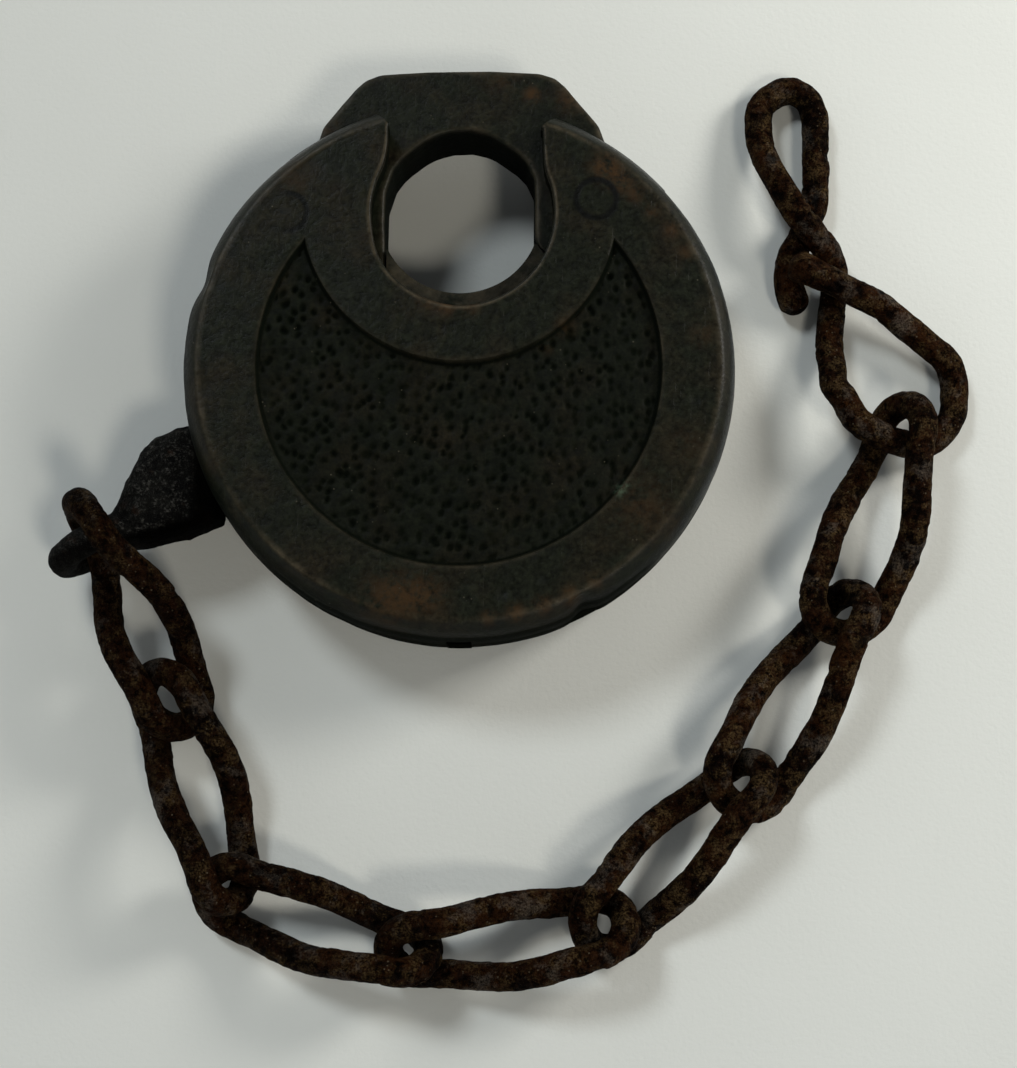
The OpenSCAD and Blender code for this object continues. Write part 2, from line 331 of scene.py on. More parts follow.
SHADE_BLACK = (0.0020, 0.0030, 0.0020)
GROOVE_BLACK = (0.0016, 0.0018, 0.0012)
PALE_SPECK = (0.085, 0.075, 0.052)
SCRATCH_GREY = (0.040, 0.038, 0.031)
# dark rust, and painted shade in the wire's pits
RUST_AND_SHADE_BLACK = (0.0012, 0.0007, 0.0005)
RUBBED_GREY = (0.082, 0.062, 0.043)
RUST_SPECK = (0.19, 0.15, 0.10)
GROOVE_R = 2.3  # of the grooves round the rivets, in millimetres


class Shader:
    """A node tree in the making: most methods add one node and return its output."""

    def __init__(self, name, kind="materials", coordinates="Object"):
        self.owner = getattr(bpy.data, kind).new(name)
        self.owner.use_nodes = True
        self.tree = self.owner.node_tree
        self.place = self.add("TexCoord", coordinates)

    def link(self, value, socket):
        """Joins an output to the socket, or sets the socket to a number or colour."""
        if isinstance(value, bpy.types.NodeSocket):
            self.tree.links.new(value, socket)
        else:
            socket.default_value = value

    def add(self, kind, output, inputs=None, **options):
        """Adds a node, sets its options and inputs, and returns the output asked for."""
        node = self.tree.nodes.new("ShaderNode" + kind)
        for name, value in options.items():
            setattr(node, name, value)
        for socket, value in (inputs or {}).items():
            self.link(value, node.inputs[socket])
        return node.outputs[output]

    def mark(self, name):
        """The values that a piece carries under that name."""
        return self.add("Attribute", "Fac", attribute_name=name)

    def axis(self, name):
        """One coordinate, X, Y or Z."""
        return self.add("SeparateXYZ", name, {0: self.place})

    def maths(self, operation, a, b=0.0, clamp=False):
        """One step of arithmetic, kept within 0 and 1 if asked."""
        return self.add("Math", 0, {0: a, 1: b}, operation=operation, use_clamp=clamp)

    def times(self, a, b, clamp=False):
        """Product of two values."""
        return self.maths("MULTIPLY", a, b, clamp)

    def cloud(self, size, detail=4.0, roughness=0.55, stretch=None, turn=0.0):
        """Noise whose features are size millimetres across, stretched or turned about Z if asked."""
        place = self.place
        if stretch:
            place = self.add("Mapping", "Vector", {"Vector": place, "Scale": stretch,
                                                   "Rotation": (0, 0, math.radians(turn))})
        return self.add("TexNoise", "Fac", {"Vector": place, "Scale": 1 / (size * MM),
                                            "Detail": detail, "Roughness": roughness})

    def between(self, value, low, high, to_low=0.0, to_high=1.0):
        """Maps low..high to to_low..to_high and stops there."""
        return self.add("MapRange", "Result", {"Value": value, "From Min": low, "From Max": high,
                                               "To Min": to_low, "To Max": to_high})

    def patches(self, size, low, high, **cloud):
        """Patches from 0 to 1: a cloud mapped between low and high."""
        return self.between(self.cloud(size, **cloud), low, high)

    def specks(self, size, low, high, where):
        """Small dots about size millimetres apart, where the patches are."""
        cells = self.add("TexVoronoi", "Distance", {"Vector": self.place, "Scale": 1 / (size * MM)})
        return self.times(self.between(cells, low, high, 1.0, 0.0), where)

    def blend(self, share, a, b):
        """The colour a where share is 0 and b where it is 1."""
        a, b = (c if isinstance(c, bpy.types.NodeSocket) else (*c, 1) for c in (a, b))
        return self.add("Mix", 2, {"Factor": share, 6: a, 7: b}, data_type="RGBA")

    def coat(self, colour, share, top, strength=None):
        """The colour with top over it, as strong as share, or as share times strength."""
        return self.blend(share if strength is None else self.times(share, strength), colour, top)

    def scaled(self, colour, value):
        """The colour times a number."""
        return self.add("VectorMath", 0, {0: colour, "Scale": value}, operation="SCALE")

    def ring(self, centre, width):
        """1 on a groove's circle about a vertical line through centre, 0 away from it, and the
        distance to the right of the centre."""
        dx, dy = (self.maths("SUBTRACT", self.axis(axis), at * MM) for axis, at in zip("XY", centre))
        squares = self.maths("ADD", self.maths("POWER", dx, 2.0), self.maths("POWER", dy, 2.0))
        off = self.maths("SUBTRACT", self.maths("SQRT", squares), GROOVE_R * MM)
        off = self.maths("ABSOLUTE", off)
        return self.between(off, 0.35 * width * MM, width * MM, 1.0, 0.0), dx

    def bump(self, height, depth, below=None):
        """Bump whose height of 1 stands depth millimetres proud, over another bump if given."""
        inputs = {"Strength": 1.0, "Distance": depth * MM, "Height": height}
        return self.add("Bump", "Normal", inputs | ({"Normal": below} if below else {}))

    def done(self, colour, roughness, normal, metallic=0.0, specular=0.5):
        """Joins everything to the surface's shader."""
        surface = self.tree.nodes["Principled BSDF"].inputs
        for name, value in (("Base Color", colour), ("Roughness", roughness), ("Normal", normal),
                            ("Metallic", metallic), ("Specular IOR Level", specular)):
            self.link(value, surface[name])


def iron_patina():
    """Dark patina of the castings: brown clouds, blue clouds of painted sheen on the sides, worn edges
    with painted glints, painted shade in hollows, inside and on the sides away from the lamps, stains,
    scratches and the grooves round the two rivets."""
    tones = settings("finish")
    s = Shader("iron_patina")
    wear_and_glint, painted_shade, stain, green = (s.mark(name) for name in ("wear_and_glint", "painted_shade", "stain", "green"))
    side = s.mark("side")
    grain = s.cloud(0.55, roughness=0.7)
    mottle = s.cloud(1.5, detail=5, roughness=0.7)
    colour = s.blend(s.patches(7.0, 0.46, 0.70, detail=5), tones.iron, tones.iron_brown)
    # painted blue sheen on the sides, in patches
    colour = s.coat(colour, s.times(side, s.patches(4.0, 0.3, 0.6)), tones.iron_blue_sheen)
    colour = s.scaled(colour, s.times(s.between(grain, 0.34, 0.66, 0.62, 1.5),
                                      s.between(mottle, 0.36, 0.62, 0.62, 1.35)))
    rusty = s.times(stain, s.patches(1.3, 0.34, 0.56, detail=5, roughness=0.65))
    colour = s.coat(colour, rusty, tones.rust)
    # painted shade in hollows, inside and on the sides away from the lamps
    colour = s.coat(colour, painted_shade, SHADE_BLACK, 0.9)
    # worn edges with painted glints on the rim, the opening's lip and the panel's border
    worn_and_glint = s.times(wear_and_glint, s.patches(2.6, 0.36, 0.62, detail=5, roughness=0.7), clamp=True)
    colour = s.coat(colour, worn_and_glint, tones.worn_and_glint)
    colour = s.coat(colour, s.times(green, s.patches(0.5, 0.4, 0.6)), tones.verdigris)
    colour = s.coat(colour, s.specks(1.1, 0.05, 0.10, s.patches(5.0, 0.52, 0.6)), PALE_SPECK, 0.6)
    scratches = s.patches(1.3, 0.72, 0.76, detail=1, stretch=(5.0, 0.5, 1.0), turn=-38)
    colour = s.coat(colour, scratches, SCRATCH_GREY, 0.08)
    right, _ = s.ring(PIVOT, 0.50)
    left, dx = s.ring(KEEPER, 0.46)
    left = s.times(left, s.between(dx, -0.0022, 0.0006))
    groove = s.maths("ADD", right, left, clamp=True)
    groove = s.times(groove, s.between(side, 0.0, 0.3, 1.0, 0.0))
    colour = s.coat(colour, groove, GROOVE_BLACK, 0.95)
    roughness = s.maths("ADD", s.between(grain, 0.3, 0.7, 0.30, 0.48), s.times(painted_shade, 0.4))
    roughness = s.maths("ADD", roughness, s.times(rusty, 0.25), clamp=True)
    height = s.maths("SUBTRACT", s.maths("ADD", grain, mottle), s.times(scratches, 0.2))
    normal = s.bump(s.maths("SUBTRACT", 1.0, groove), 0.02, s.bump(height, 0.06))
    shine = s.times(s.between(painted_shade, 0.0, 0.7, 1.0, 0.1), s.between(side, 0.15, 1.0, 0.12, 0.25))
    s.done(colour, roughness, normal, specular=shine)


def chain_rust():
    """Rough dark rust: red-brown and olive clouds over near black, rubbed places, pits and specks, with
    painted shade in the pits and towards -X.
    """
    tones = settings("finish")
    s = Shader("wire_rust")
    broad = s.cloud(6.0)
    fine = s.cloud(0.8, detail=6, roughness=0.75)
    grit = s.cloud(0.26, detail=3, roughness=0.8)
    colour = s.blend(s.between(s.maths("ADD", broad, fine), 0.88, 1.14), tones.chain_dark, tones.chain_red)
    scale = s.times(s.patches(2.0, 0.48, 0.60, detail=5, roughness=0.7), s.between(grit, 0.38, 0.58))
    colour = s.coat(colour, scale, tones.chain_olive)
    rubbed = s.times(s.patches(4.5, 0.55, 0.65, detail=5, roughness=0.7), s.between(grit, 0.36, 0.56))
    colour = s.coat(colour, rubbed, RUBBED_GREY, 0.65)
    # painted shade: the chain darkens towards -X, where the case shades it
    along = s.between(s.axis("X"), -0.040, 0.030, 0.62, 1.12)
    colour = s.scaled(colour, s.times(along, s.between(grit, 0.36, 0.64, 0.3, 1.6)))
    colour = s.coat(colour, s.between(fine, 0.36, 0.48, 0.95, 0.0), RUST_AND_SHADE_BLACK)
    # painted shade in the wire's low places
    colour = s.coat(colour, s.mark("painted_shade"), RUST_AND_SHADE_BLACK, 0.9)
    colour = s.coat(colour, s.specks(0.8, 0.08, 0.16, s.patches(3.0, 0.46, 0.56)), RUST_SPECK, 0.55)
    shine = s.between(s.maths("ADD", fine, rubbed), 0.45, 1.2, 0.01, 0.14)
    normal = s.bump(grit, 0.35, s.bump(fine, 0.8))
    s.done(colour, s.between(grit, 0.25, 0.75, 0.50, 0.85), normal, specular=shine)


def eye_scale():
    """Forging scale of the eye: a rough crown with grey specks, and sides painted near black as shade."""
    s = Shader("eye_scale")
    crown = s.mark("crown")
    broad = s.cloud(3.0, detail=5, roughness=0.65)
    fine = s.cloud(0.7, detail=6, roughness=0.8)
    grit = s.cloud(0.3, roughness=0.8)
    colour = s.blend(s.between(broad, 0.40, 0.62), (0.0012, 0.0013, 0.0011), (0.0080, 0.0078, 0.0062))
    colour = s.coat(colour, s.patches(2.2, 0.60, 0.70), (0.020, 0.0085, 0.0035))
    flecks = s.times(s.between(fine, 0.50, 0.60), s.between(grit, 0.46, 0.58))
    colour = s.coat(colour, flecks, (0.115, 0.110, 0.096), 0.9)
    colour = s.coat(colour, s.between(fine, 0.36, 0.46, 0.9, 0.0), (0.0016, 0.0016, 0.0014))
    # painted shade in the low places
    colour = s.coat(colour, s.mark("painted_shade"), (0.0018, 0.0018, 0.0015), 0.7)
    # painted shade: near black on the sides, away from the crown
    side = s.blend(s.between(broad, 0.45, 0.65), (0.0009, 0.0009, 0.0008), (0.0030, 0.0023, 0.0016))
    roughness = s.between(grit, 0.25, 0.75, 0.5, 0.85)
    normal = s.bump(grit, 0.3, s.bump(fine, 0.7))
    s.done(s.blend(crown, side, colour), roughness, normal, specular=s.between(crown, 0, 1, 0.01, 0.06))


def rivet_steel():
    """Dull steel: grey clouds and fine marks."""
    s = Shader("rivet_metal")
    grain = s.cloud(0.4, roughness=0.7)
    colour = s.blend(s.patches(1.4, 0.4, 0.62, detail=5), (0.0038, 0.0044, 0.0030), (0.0095, 0.0090, 0.0058))
    # painted shade in the rivet's pit
    colour = s.coat(colour, s.mark("painted_shade"), (0.0016, 0.0018, 0.0014))
    s.done(colour, s.between(grain, 0.3, 0.7, 0.45, 0.65), s.bump(grain, 0.08), specular=0.14)


def lever_brass():
    """Tarnished brass sheet: brown clouds over yellow, with fine stamping lines."""
    s = Shader("tarnished_brass")
    cloud = s.cloud(3.0, detail=5)
    lines = s.cloud(0.5, detail=2, stretch=(1.0, 9.0, 1.0), turn=12)
    colour = s.blend(s.between(cloud, 0.4, 0.62), settings("finish").brass, (0.19, 0.115, 0.04))
    colour = s.coat(colour, s.between(lines, 0.5, 0.75, 0.0, 0.35), (0.09, 0.06, 0.03))
    s.done(colour, s.between(cloud, 0.3, 0.7, 0.28, 0.5), s.bump(lines, 0.02), metallic=0.9)


def spring_steel():
    """Blued steel strip: blue and straw clouds."""
    s = Shader("blued_steel")
    grain = s.cloud(0.3, detail=3)
    colour = s.blend(s.patches(2.0, 0.42, 0.62), settings("finish").steel, (0.16, 0.11, 0.07))
    s.done(colour, s.between(grain, 0.3, 0.7, 0.25, 0.42), s.bump(grain, 0.01), metallic=0.9)


def table_paper():
    """Pale matt table: faint clouds and grain."""
    s = Shader("table_paper")
    table = settings("finish").table
    colour = s.blend(s.patches(60.0, 0.35, 0.65, detail=3), table, [0.955 * c for c in table])
    grain = s.cloud(0.7, detail=5, roughness=0.6)
    s.done(colour, s.between(grain, 0.3, 0.7, 0.75, 0.9), s.bump(grain, 0.05), specular=0.25)


class Materials(bpy.types.Operator):
    """Makes the materials that the pieces use"""
    bl_idname = "padlock.materials"
    bl_label = "Materials"

    def execute(self, context):
        for material in (iron_patina, chain_rust, eye_scale, rivet_steel, lever_brass, spring_steel,
                         table_paper):
            material()
        return {"FINISHED"}


# ---------- castings ----------

# Edge of the opening on the front face: angle about the opening's centre, distance from it
FACE_EDGE = [(45.5, 14.0), (36.5, 12.4), (28, 11.45), (11, 11.2), (-3, 11.25), (-20, 11.4),
             (-37, 11.6), (-60, 11.8), (-90, 11.95), (-122, 11.6), (-137, 11.45), (-151, 11.15), (-165, 10.7),
             (-183, 10.5), (-198, 10.45), (-214, 10.75), (-225, 12.1), (-230.5, 13.4)]
BACK_EDGE = [(45.5, 14.0), (36.5, 12.4), (28, 11.4), (11, 11.2), (-90, 11.2), (-198, 11.2), (-214, 11.4),
             (-225, 12.4), (-230.5, 13.8)]
PANEL_Y = -0.6
PANEL_R = 23.2
CRESCENT_R = 18.1
MOUTH = (41, 129)  # angles between which the wall is open for the shackle
KEYWAY = (267.5, 272.5)  # and for the key
KEYWAY_TOP = 10.5
COLLAR = (9.35, 11.25, 198, 342)  # inner and outer radius, first and last angle
FREE = 0.15  # gap between the foot wall and the shackle's legs
RIBS_X = (-3.4, 1.4)  # left sides of the two ribs that guide the key
RIB_WIDTH = 2
RIB_RUN = (-28.5, -18.5)
EDGE_ROUND = 0.35  # width of the opening's rounded edge
COLUMNS = 470
CUT_WIDTH = 0.04  # between the pair of columns at each end of a cut
DENTS = [  # x, y, radius, depth of knocks in the shoulder and face
    (14.3, -28.3, 1.5, 0.55), (-30.6, 9.9, 2.2, 0.5), (4.9, -26.7, 0.5, 0.25), (26.8, -4.6, 0.45, 0.22),
    (-24.0, -17.5, 0.6, 0.12), (9.0, -25.0, 0.5, 0.12), (-17.8, 23.9, 1.6, 0.14), (22.5, 15.8, 0.5, 0.12),
    (-13.2, -27.6, 1.3, 0.18), (28.4, 8.0, 1.2, 0.15), (-29.5, -3.0, 1.4, 0.18), (19.4, -22.6, 0.9, 0.14),
    (-2.0, 3.6, 0.35, 0.12), (12.2, 9.5, 0.3, 0.1)]
STAINS = [  # x, y, radius, strength of rust
    (-7.4, -27.3, 2.6, 0.75), (-3.8, -27.0, 2.0, 0.7), (16.9, 22.9, 1.5, 1.0), (18.6, 21.2, 1.3, 0.9),
    (20.4, 19.5, 1.0, 0.6), (22.3, 17.5, 0.9, 0.5), (24.4, 15.3, 0.9, 0.6), (26.0, 12.5, 0.9, 0.5),
    (20.5, -17.0, 3.6, 0.30), (26.0, -10.0, 2.4, 0.2), (-19.0, 21.2, 2.0, 0.3), (-1.5, 6.6, 1.2, 0.9),
    (-3.6, 7.1, 1.0, 0.7), (1.4, 6.2, 1.0, 0.5), (12.2, 3.8, 1.0, 0.5), (10.0, 1.6, 0.8, 0.5),
    (27.8, 3.0, 1.4, 0.3), (3.4, -29.5, 0.8, 0.6), (6.5, -29.0, 0.9, 0.9),
    (9.5, -28.1, 0.9, 0.9), (12.5, -26.9, 0.9, 0.8), (15.4, -25.3, 0.8, 0.6), (-27.5, -12.0, 1.6, 0.2)]
GREEN = [(18.2, -15.1, 0.55, 1.0), (18.9, -14.4, 0.4, 0.7)]


def ray(angle, radius, centre_y=0.0):
    """Distance from the opening's centre, along the ray at angle (radians), to the circle of that
    radius about (0, centre_y): the positive root of the circle's equation."""
    gap = OPENING_Y - centre_y
    return -gap * np.sin(angle) + np.sqrt(radius ** 2 - (gap * np.cos(angle)) ** 2)


def casting_columns(edge):
    """Angles of the columns, about the case's centre and about the opening's: even steps along the
    rim from the right horn clockwise to the left one, with a close pair at each end of a cut."""
    ends = [math.radians(edge[0][0]), math.radians(edge[-1][0])]
    rim = [math.atan2(OPENING_Y + r * math.sin(a), r * math.cos(a))
           for a, r in ((a, float(ray(np.array(a), CASE_R))) for a in ends)]
    rim = np.degrees([rim[0], rim[1] - 2 * math.pi])
    even = np.linspace(rim[0], rim[1], COLUMNS)
    cuts = np.array([MOUTH[0], MOUTH[1] - 360, KEYWAY[0] - 360, KEYWAY[1] - 360])
    columns = np.sort(np.concatenate([even, cuts - CUT_WIDTH / 2, cuts + CUT_WIDTH / 2]))[::-1]
    about_case = np.radians(columns)
    about_opening = np.arctan2(CASE_R * np.sin(about_case) - OPENING_Y, CASE_R * np.cos(about_case))
    return about_case, np.unwrap(about_opening)


def floor_of_wall(about_case, room):
    """Height where the side wall ends in each column: at the seam, or higher over the mouth and keyway."""
    turn = np.degrees(about_case) % 360
    in_mouth = (turn > MOUTH[0]) & (turn < MOUTH[1])
    in_keyway = (turn > KEYWAY[0]) & (turn < KEYWAY[1])
    return np.where(in_mouth, room - 0.06, np.where(in_keyway, KEYWAY_TOP, SEAM_Z))


def casting(name, edge, recess, seed):
    """Half of the case with its face up at CASE_T, as a closed skin. One parameter goes round the
    opening from horn to horn. The other goes round the section: up the opening's edge, over its
    round, out across crescent, panel and band, over the shoulder, down the wall and back inside.
    Every point lies on a ray from the opening's centre."""
    sizes = settings("case")
    about_case, angle = casting_columns(edge)
    room = CASE_T - sizes.wall
    face = ray(angle, sizes.face_radius)
    inner = np.minimum(through(sorted(edge), np.degrees(angle)), face - 0.12)
    throat = inner - EDGE_ROUND
    crescent = np.minimum(CRESCENT_R, inner + 0.5 * (face - inner))
    panel = np.maximum(ray(angle, PANEL_R, PANEL_Y), crescent + 0.08 * (face - crescent))
    panel = np.minimum(panel, face - 0.12 * (face - crescent))
    bottom = floor_of_wall(about_case, room)
    wall = np.maximum(ray(angle, CASE_R - sizes.wall), throat + 0.05)
    edge_z = CASE_T - 0.75 * EDGE_ROUND - 0.1

    def straight(count, start, end):
        """Rows from one (distance, height) towards another."""
        return [steps(a + 0 * angle, b + 0 * angle, count) for a, b in zip(start, end)]

    def shoulder(turn):
        """Quarter ellipse from the face to the rim: sine outwards, one minus cosine downwards."""
        reach = sizes.face_radius + (CASE_R - sizes.face_radius) * np.sin(turn)
        return ray(angle, reach), CASE_T - sizes.shoulder * (1 - np.cos(turn))

    quarter = steps(0 * angle, 0 * angle + math.pi / 2, 6)
    last = np.arccos(1 - np.clip((CASE_T - bottom) / sizes.shoulder, 0, 1))
    rim = shoulder(last)
    kinds, reach, z = zip(  # kind of surface, distance along the ray, height
        ("edge", *straight(5, (throat, room), (throat, edge_z))),
        ("round", throat + EDGE_ROUND * (1 - np.cos(quarter)), edge_z + (CASE_T - edge_z) * np.sin(quarter)),
        ("face", *straight(22, (inner, CASE_T), (crescent, CASE_T))),
        ("face", *straight(68, (crescent, CASE_T), (panel, CASE_T))),
        ("face", *straight(17, (panel, CASE_T), (face, CASE_T))),
        ("side", *shoulder(steps(0 * angle, last, 14))),
        ("side", *straight(7, rim, (rim[0], bottom))),
        ("inside", *straight(4, (rim[0], bottom), (wall, bottom))),
        ("inside", *straight(4, (wall, bottom), (wall, room))),
        ("inside", *straight(12, (wall, room), (throat, room))))
    kinds = np.repeat(kinds, [len(part) for part in reach])
    reach, z = np.concatenate(reach).T, np.concatenate(z).T
    x = reach * np.cos(angle)[:, None]
    y = OPENING_Y + reach * np.sin(angle)[:, None]

    top, side, within = (np.isin(kinds, names)[None, :]
                         for names in (("face", "round"), ("side",), ("inside", "edge")))
    out = np.hypot(x, y)
    into = np.minimum(PANEL_R - np.hypot(x, y - PANEL_Y), np.hypot(x, y - OPENING_Y) - CRESCENT_R)
    panelled = top * recess
    sunk = ease(-0.05, 0.38, into) * panelled
    plan = stacked(x, y, 0.0)
    points = stacked(x, y, z)
    warp_x, warp_y = (0.2 * noise(plan, 1.2, seed + k) for k in (11, 12))
    punch = punched(x + warp_x, y + warp_y, sizes.punch_spacing, seed) * ease(0.25, 0.9, into) * panelled
    punch = punch * (0.62 + 0.38 * noise(plan, 1.7, seed + 9))
    dent = bells(x, y, DENTS)
    z = z - top * (sunk * sizes.recess + punch * sizes.punch_depth + dent)
    wave = 0.07 * rough(points, 9.0, seed + 3) * ease(0.0, 1.5, reach - reach[:, :1])
    z = z + top * (wave + 0.02 * noise(points, 0.8, seed + 5) + sunk * 0.14 * rough(points, 1.8, seed + 6))
    shove = side * (0.10 * rough(points, 6.0, seed + 4, 4) - 1.1 * dent - 0.10) * ease(0, 0.4, CASE_T - z)
    x, y = (c + shove * c / np.maximum(out, 1) for c in (x, y))
    z = z - side * dent * 0.5 * ease(SEAM_Z, SEAM_Z + 3, z)

    uneven = 0.5 + 0.5 * noise(points, 6.0, seed + 8)
    rim_edge = bell(out, sizes.face_radius + 0.2, 0.28) * (top | side) * (z > CASE_T - 1)
    lip = bell(reach, inner[:, None], 0.15) * top
    border = bell(into, -0.12, 0.14) * panelled * 0.8
    # wear and painted glints on the rim edge, the opening's lip and the panel's border
    wear_and_glint = rim_edge * (0.15 + 0.85 * uneven ** 1.5) + lip * (0.3 + 0.7 * uneven) + border * uneven
    # painted shade: the sunk panel and its punch marks darker; below, a painted shadow just inside the
    # panel's edge
    panel_shade = sunk * (0.42 + 0.1 * noise(points, 1.1, seed + 13)) + 0.85 * punch
    painted_shade = np.maximum.reduce([  # painted shade: panel and pits, knocks, foot, lower left and left of the rim, inside
        np.clip(panel_shade + 0.8 * bell(into, 0.22, 0.2) * panelled, 0, 1),
        np.clip(dent * 1.6, 0, 0.8) * top,
        # painted shade on the lower side wall and on the lower left and left of the shoulder, away from the
        # lamps
        side * ease(-18, -26, y) * ease(13.8, 12.0, z) * (0.4 + 0.55 * ease(6, 9, z)),
        0.5 * side * ease(14.6, 13.2, z) * ease(-14, -25, x + 0.3 * y),
        0.45 * side * ease(14.4, 12.6, z) * ease(4, -12, y + 0.5 * x),
        0.8 * within + 0 * x])
    # painted blue sheen on the shoulder and wall, faint at the lower left
    blue_sheen = side * ease(0.4, 2.0, CASE_T - z) * (0.15 + 0.85 * ease(-26, -8, y + 0.35 * x))
    marks = {"wear_and_glint": np.clip(wear_and_glint, 0, 1), "painted_shade": painted_shade,
             "stain": np.clip(bells(x, y, STAINS), 0, 1) * (top | side) * recess,
             "green": np.clip(bells(x, y, GREEN), 0, 1) * panelled, "side": blue_sheen}
    return skin(name, stacked(x, y, z), False, marks, sharp=50)


def foot_wall(name, reach, heights, trimmed):
    """Upright wall along the foot of the opening: a rectangle carried along an arc. If trimmed, it
    thins out where the shackle's legs stand: on the left to their straight side, on the right to
    the circle that the heel turns in."""
    low, high, start, end = reach
    foot, top = heights
    angle = np.radians(np.linspace(start, end, 90))
    outer = np.full_like(angle, high)
    if trimmed:
        pivot = PIVOT - np.array([0, OPENING_Y])
        leg = (LEG_GAP - FREE) / np.maximum(-np.cos(angle), 0.01)
        toward = pivot[0] * np.cos(angle) + pivot[1] * np.sin(angle)
        off = toward ** 2 - pivot @ pivot + (HEEL_R + FREE) ** 2
        heel = np.where((off > 0) & (toward > 0), toward - np.sqrt(np.maximum(off, 0)), high)
        outer = np.minimum(outer, np.minimum(leg, heel))
        kept = outer > low + 0.12
        angle, outer = angle[kept], outer[kept]
    turns = np.array([(0, top), (1, top), (1, foot), (0, foot), (0, top)])
    share, z = np.concatenate([steps(turns[k], turns[k + 1], n) for k, n in enumerate((4, 8, 4, 8))]).T
    r = low + (outer[:, None] - low) * share
    points = stacked(r * np.cos(angle)[:, None], OPENING_Y + r * np.sin(angle)[:, None], z)
    points[..., 2] -= 0.06 * (1 + rough(points, 2.5, 71, 2)) * (z > top - 0.1)
    # worn top edge with painted glint, and a little painted shade all over, inside the case
    return skin(name, points, False, {"wear_and_glint": 0.4 * (z > top - 0.3), "painted_shade": 0.15})


def rib(name, low, high):
    """A straight bar: a rectangle carried from one end to the other."""
    x = np.array([low[0], high[0], high[0], low[0]])
    z = np.array([low[2], low[2], high[2], high[2]])
    y = np.linspace(low[1], high[1], 6)[:, None]
    # painted shade: the ribs stand inside the case
    return skin(name, stacked(x, y, z), False, {"painted_shade": 0.6})


class FrontCasting(bpy.types.Operator):
    """Front casting: raised crescent, punched panel, rounded shoulder, knocks, and worn edges with painted
    glints
    """
    bl_idname = "padlock.front_casting"
    bl_label = "Front casting"

    def execute(self, context):
        piece = casting("front_casting", FACE_EDGE, 1.0, 11)
        finished(piece, "case", "case_iron", "iron_patina", "front_case")
        return {"FINISHED"}


class BackCasting(bpy.types.Operator):
    """Back casting: the same section turned over, with the opening's foot wall and the key's ribs"""
    bl_idname = "padlock.back_casting"
    bl_label = "Back casting"

    def execute(self, context):
        wall = settings("case").wall
        piece = casting("back_casting", BACK_EDGE, 0.0, 31)
        points = get_points(piece.data)
        points[:, 2] = CASE_T - points[:, 2]
        set_points(piece.data, points)
        piece.data.flip_normals()
        top = CASE_T - wall - 0.02
        foot = foot_wall("foot_wall", COLLAR, (wall, top), True)
        lip = foot_wall("foot_lip", (COLLAR[0], 11.3, *COLLAR[2:]), (0.25, wall + 0.02), False)
        ribs = [rib("rib", (x, RIB_RUN[0], wall - 0.1), (x + RIB_WIDTH, RIB_RUN[1], top)) for x in RIBS_X]
        piece = joined("back_casting", [piece, foot, lip, *ribs])
        finished(piece, "case", "case_iron", "iron_patina", "back_case")
        return {"FINISHED"}


# ---------- shackle and rivets ----------

# Stations along the shackle from the locking leg over the bow to the pivot leg's heel: outer and
# inner point of each, and how many times three columns lie between it and the next
BOW = [((-13.7, 7.6), (-8.7, 7.6), 3), ((-15.2, 9.0), (-8.7, 9.2), 3), ((-15.75, 10.4), (-8.7, 10.4), 1),
       ((-14.0, 10.5), (-8.7, 10.5), 5), ((-14.0, 13.5), (-8.7, 13.5), 1), ((-16.5, 13.6), (-8.7, 13.6), 8),
       ((-17.0, 17.4), (-8.85, 17.4), 8), ((-17.2, 21.0), (-8.8, 20.8), 8), ((-17.1, 24.5), (-7.9, 23.6), 6),
       ((-16.9, 26.8), (-6.9, 25.0), 5), ((-16.2, 29.0), (-5.9, 25.9), 12), ((-12.4, 33.8), (-4.2, 27.2), 4),
       ((-11.3, 34.8), (-3.3, 27.7), 4), ((-9.6, 35.5), (-2.3, 28.1), 10), ((-4.0, 35.9), (-0.9, 28.45), 12),
       ((3.6, 36.0), (1.3, 28.55), 10), ((9.4, 35.7), (3.0, 28.1), 4), ((11.2, 35.1), (4.1, 27.6), 4),
       ((12.5, 33.9), (5.0, 27.0), 12), ((16.3, 29.2), (6.8, 25.7), 5), ((17.1, 26.9), (7.8, 24.6), 6),
       ((17.6, 24.8), (8.7, 22.6), 8), ((19.2, 21.0), (8.75, 20.6), 8), ((19.0, 18.0), (8.75, 18.0), 6),
       ((18.4, 14.8), (8.75, 16.6), 5), ((16.2, 12.6), (8.8, 15.6), 4), ((13.95, 11.4), (8.95, 15.0), 3),
       ((11.5, 12.3), (9.3, 14.4), 1)]
SMOOTH_FROM = 66
BOW_STAINS = [(8.5, 33.0, 0.9, 0.9), (13.0, 32.5, 1.6, 0.6), (-16, 29, 1.5, 0.5), (5, 35, 2, 0.3)]
RIVETS = [  # name, node, depth of the pit in its middle
    ("pivot_rivet", "shackle_rivet", 0.28), ("keeper_rivet", "case_rivet", 0.0),
    ("left_rivet", "lower_rivet_left", 0.0), ("right_rivet", "lower_rivet_right", 0.0)]


def evened(line):
    """Averages each point past the notch with its neighbours, eight times."""
    line = line.copy()
    for _ in range(8):
        before, here, after = line[SMOOTH_FROM - 1:-2], line[SMOOTH_FROM:-1], line[SMOOTH_FROM + 1:]
        line[SMOOTH_FROM:-1] = (before + 2 * here + after) / 4
    return line


def bow_columns():
    """Outer and inner points of every column: straight steps between the stations, then evened."""
    counts = [station[2] * 3 for station in BOW[:-1]]
    sides = [np.array([station[k] for station in BOW], float) for k in (0, 1)]
    return [evened(np.concatenate([steps(p[i], p[i + 1], n) for i, n in enumerate(counts)] + [p[-1:]]))
            for p in sides]


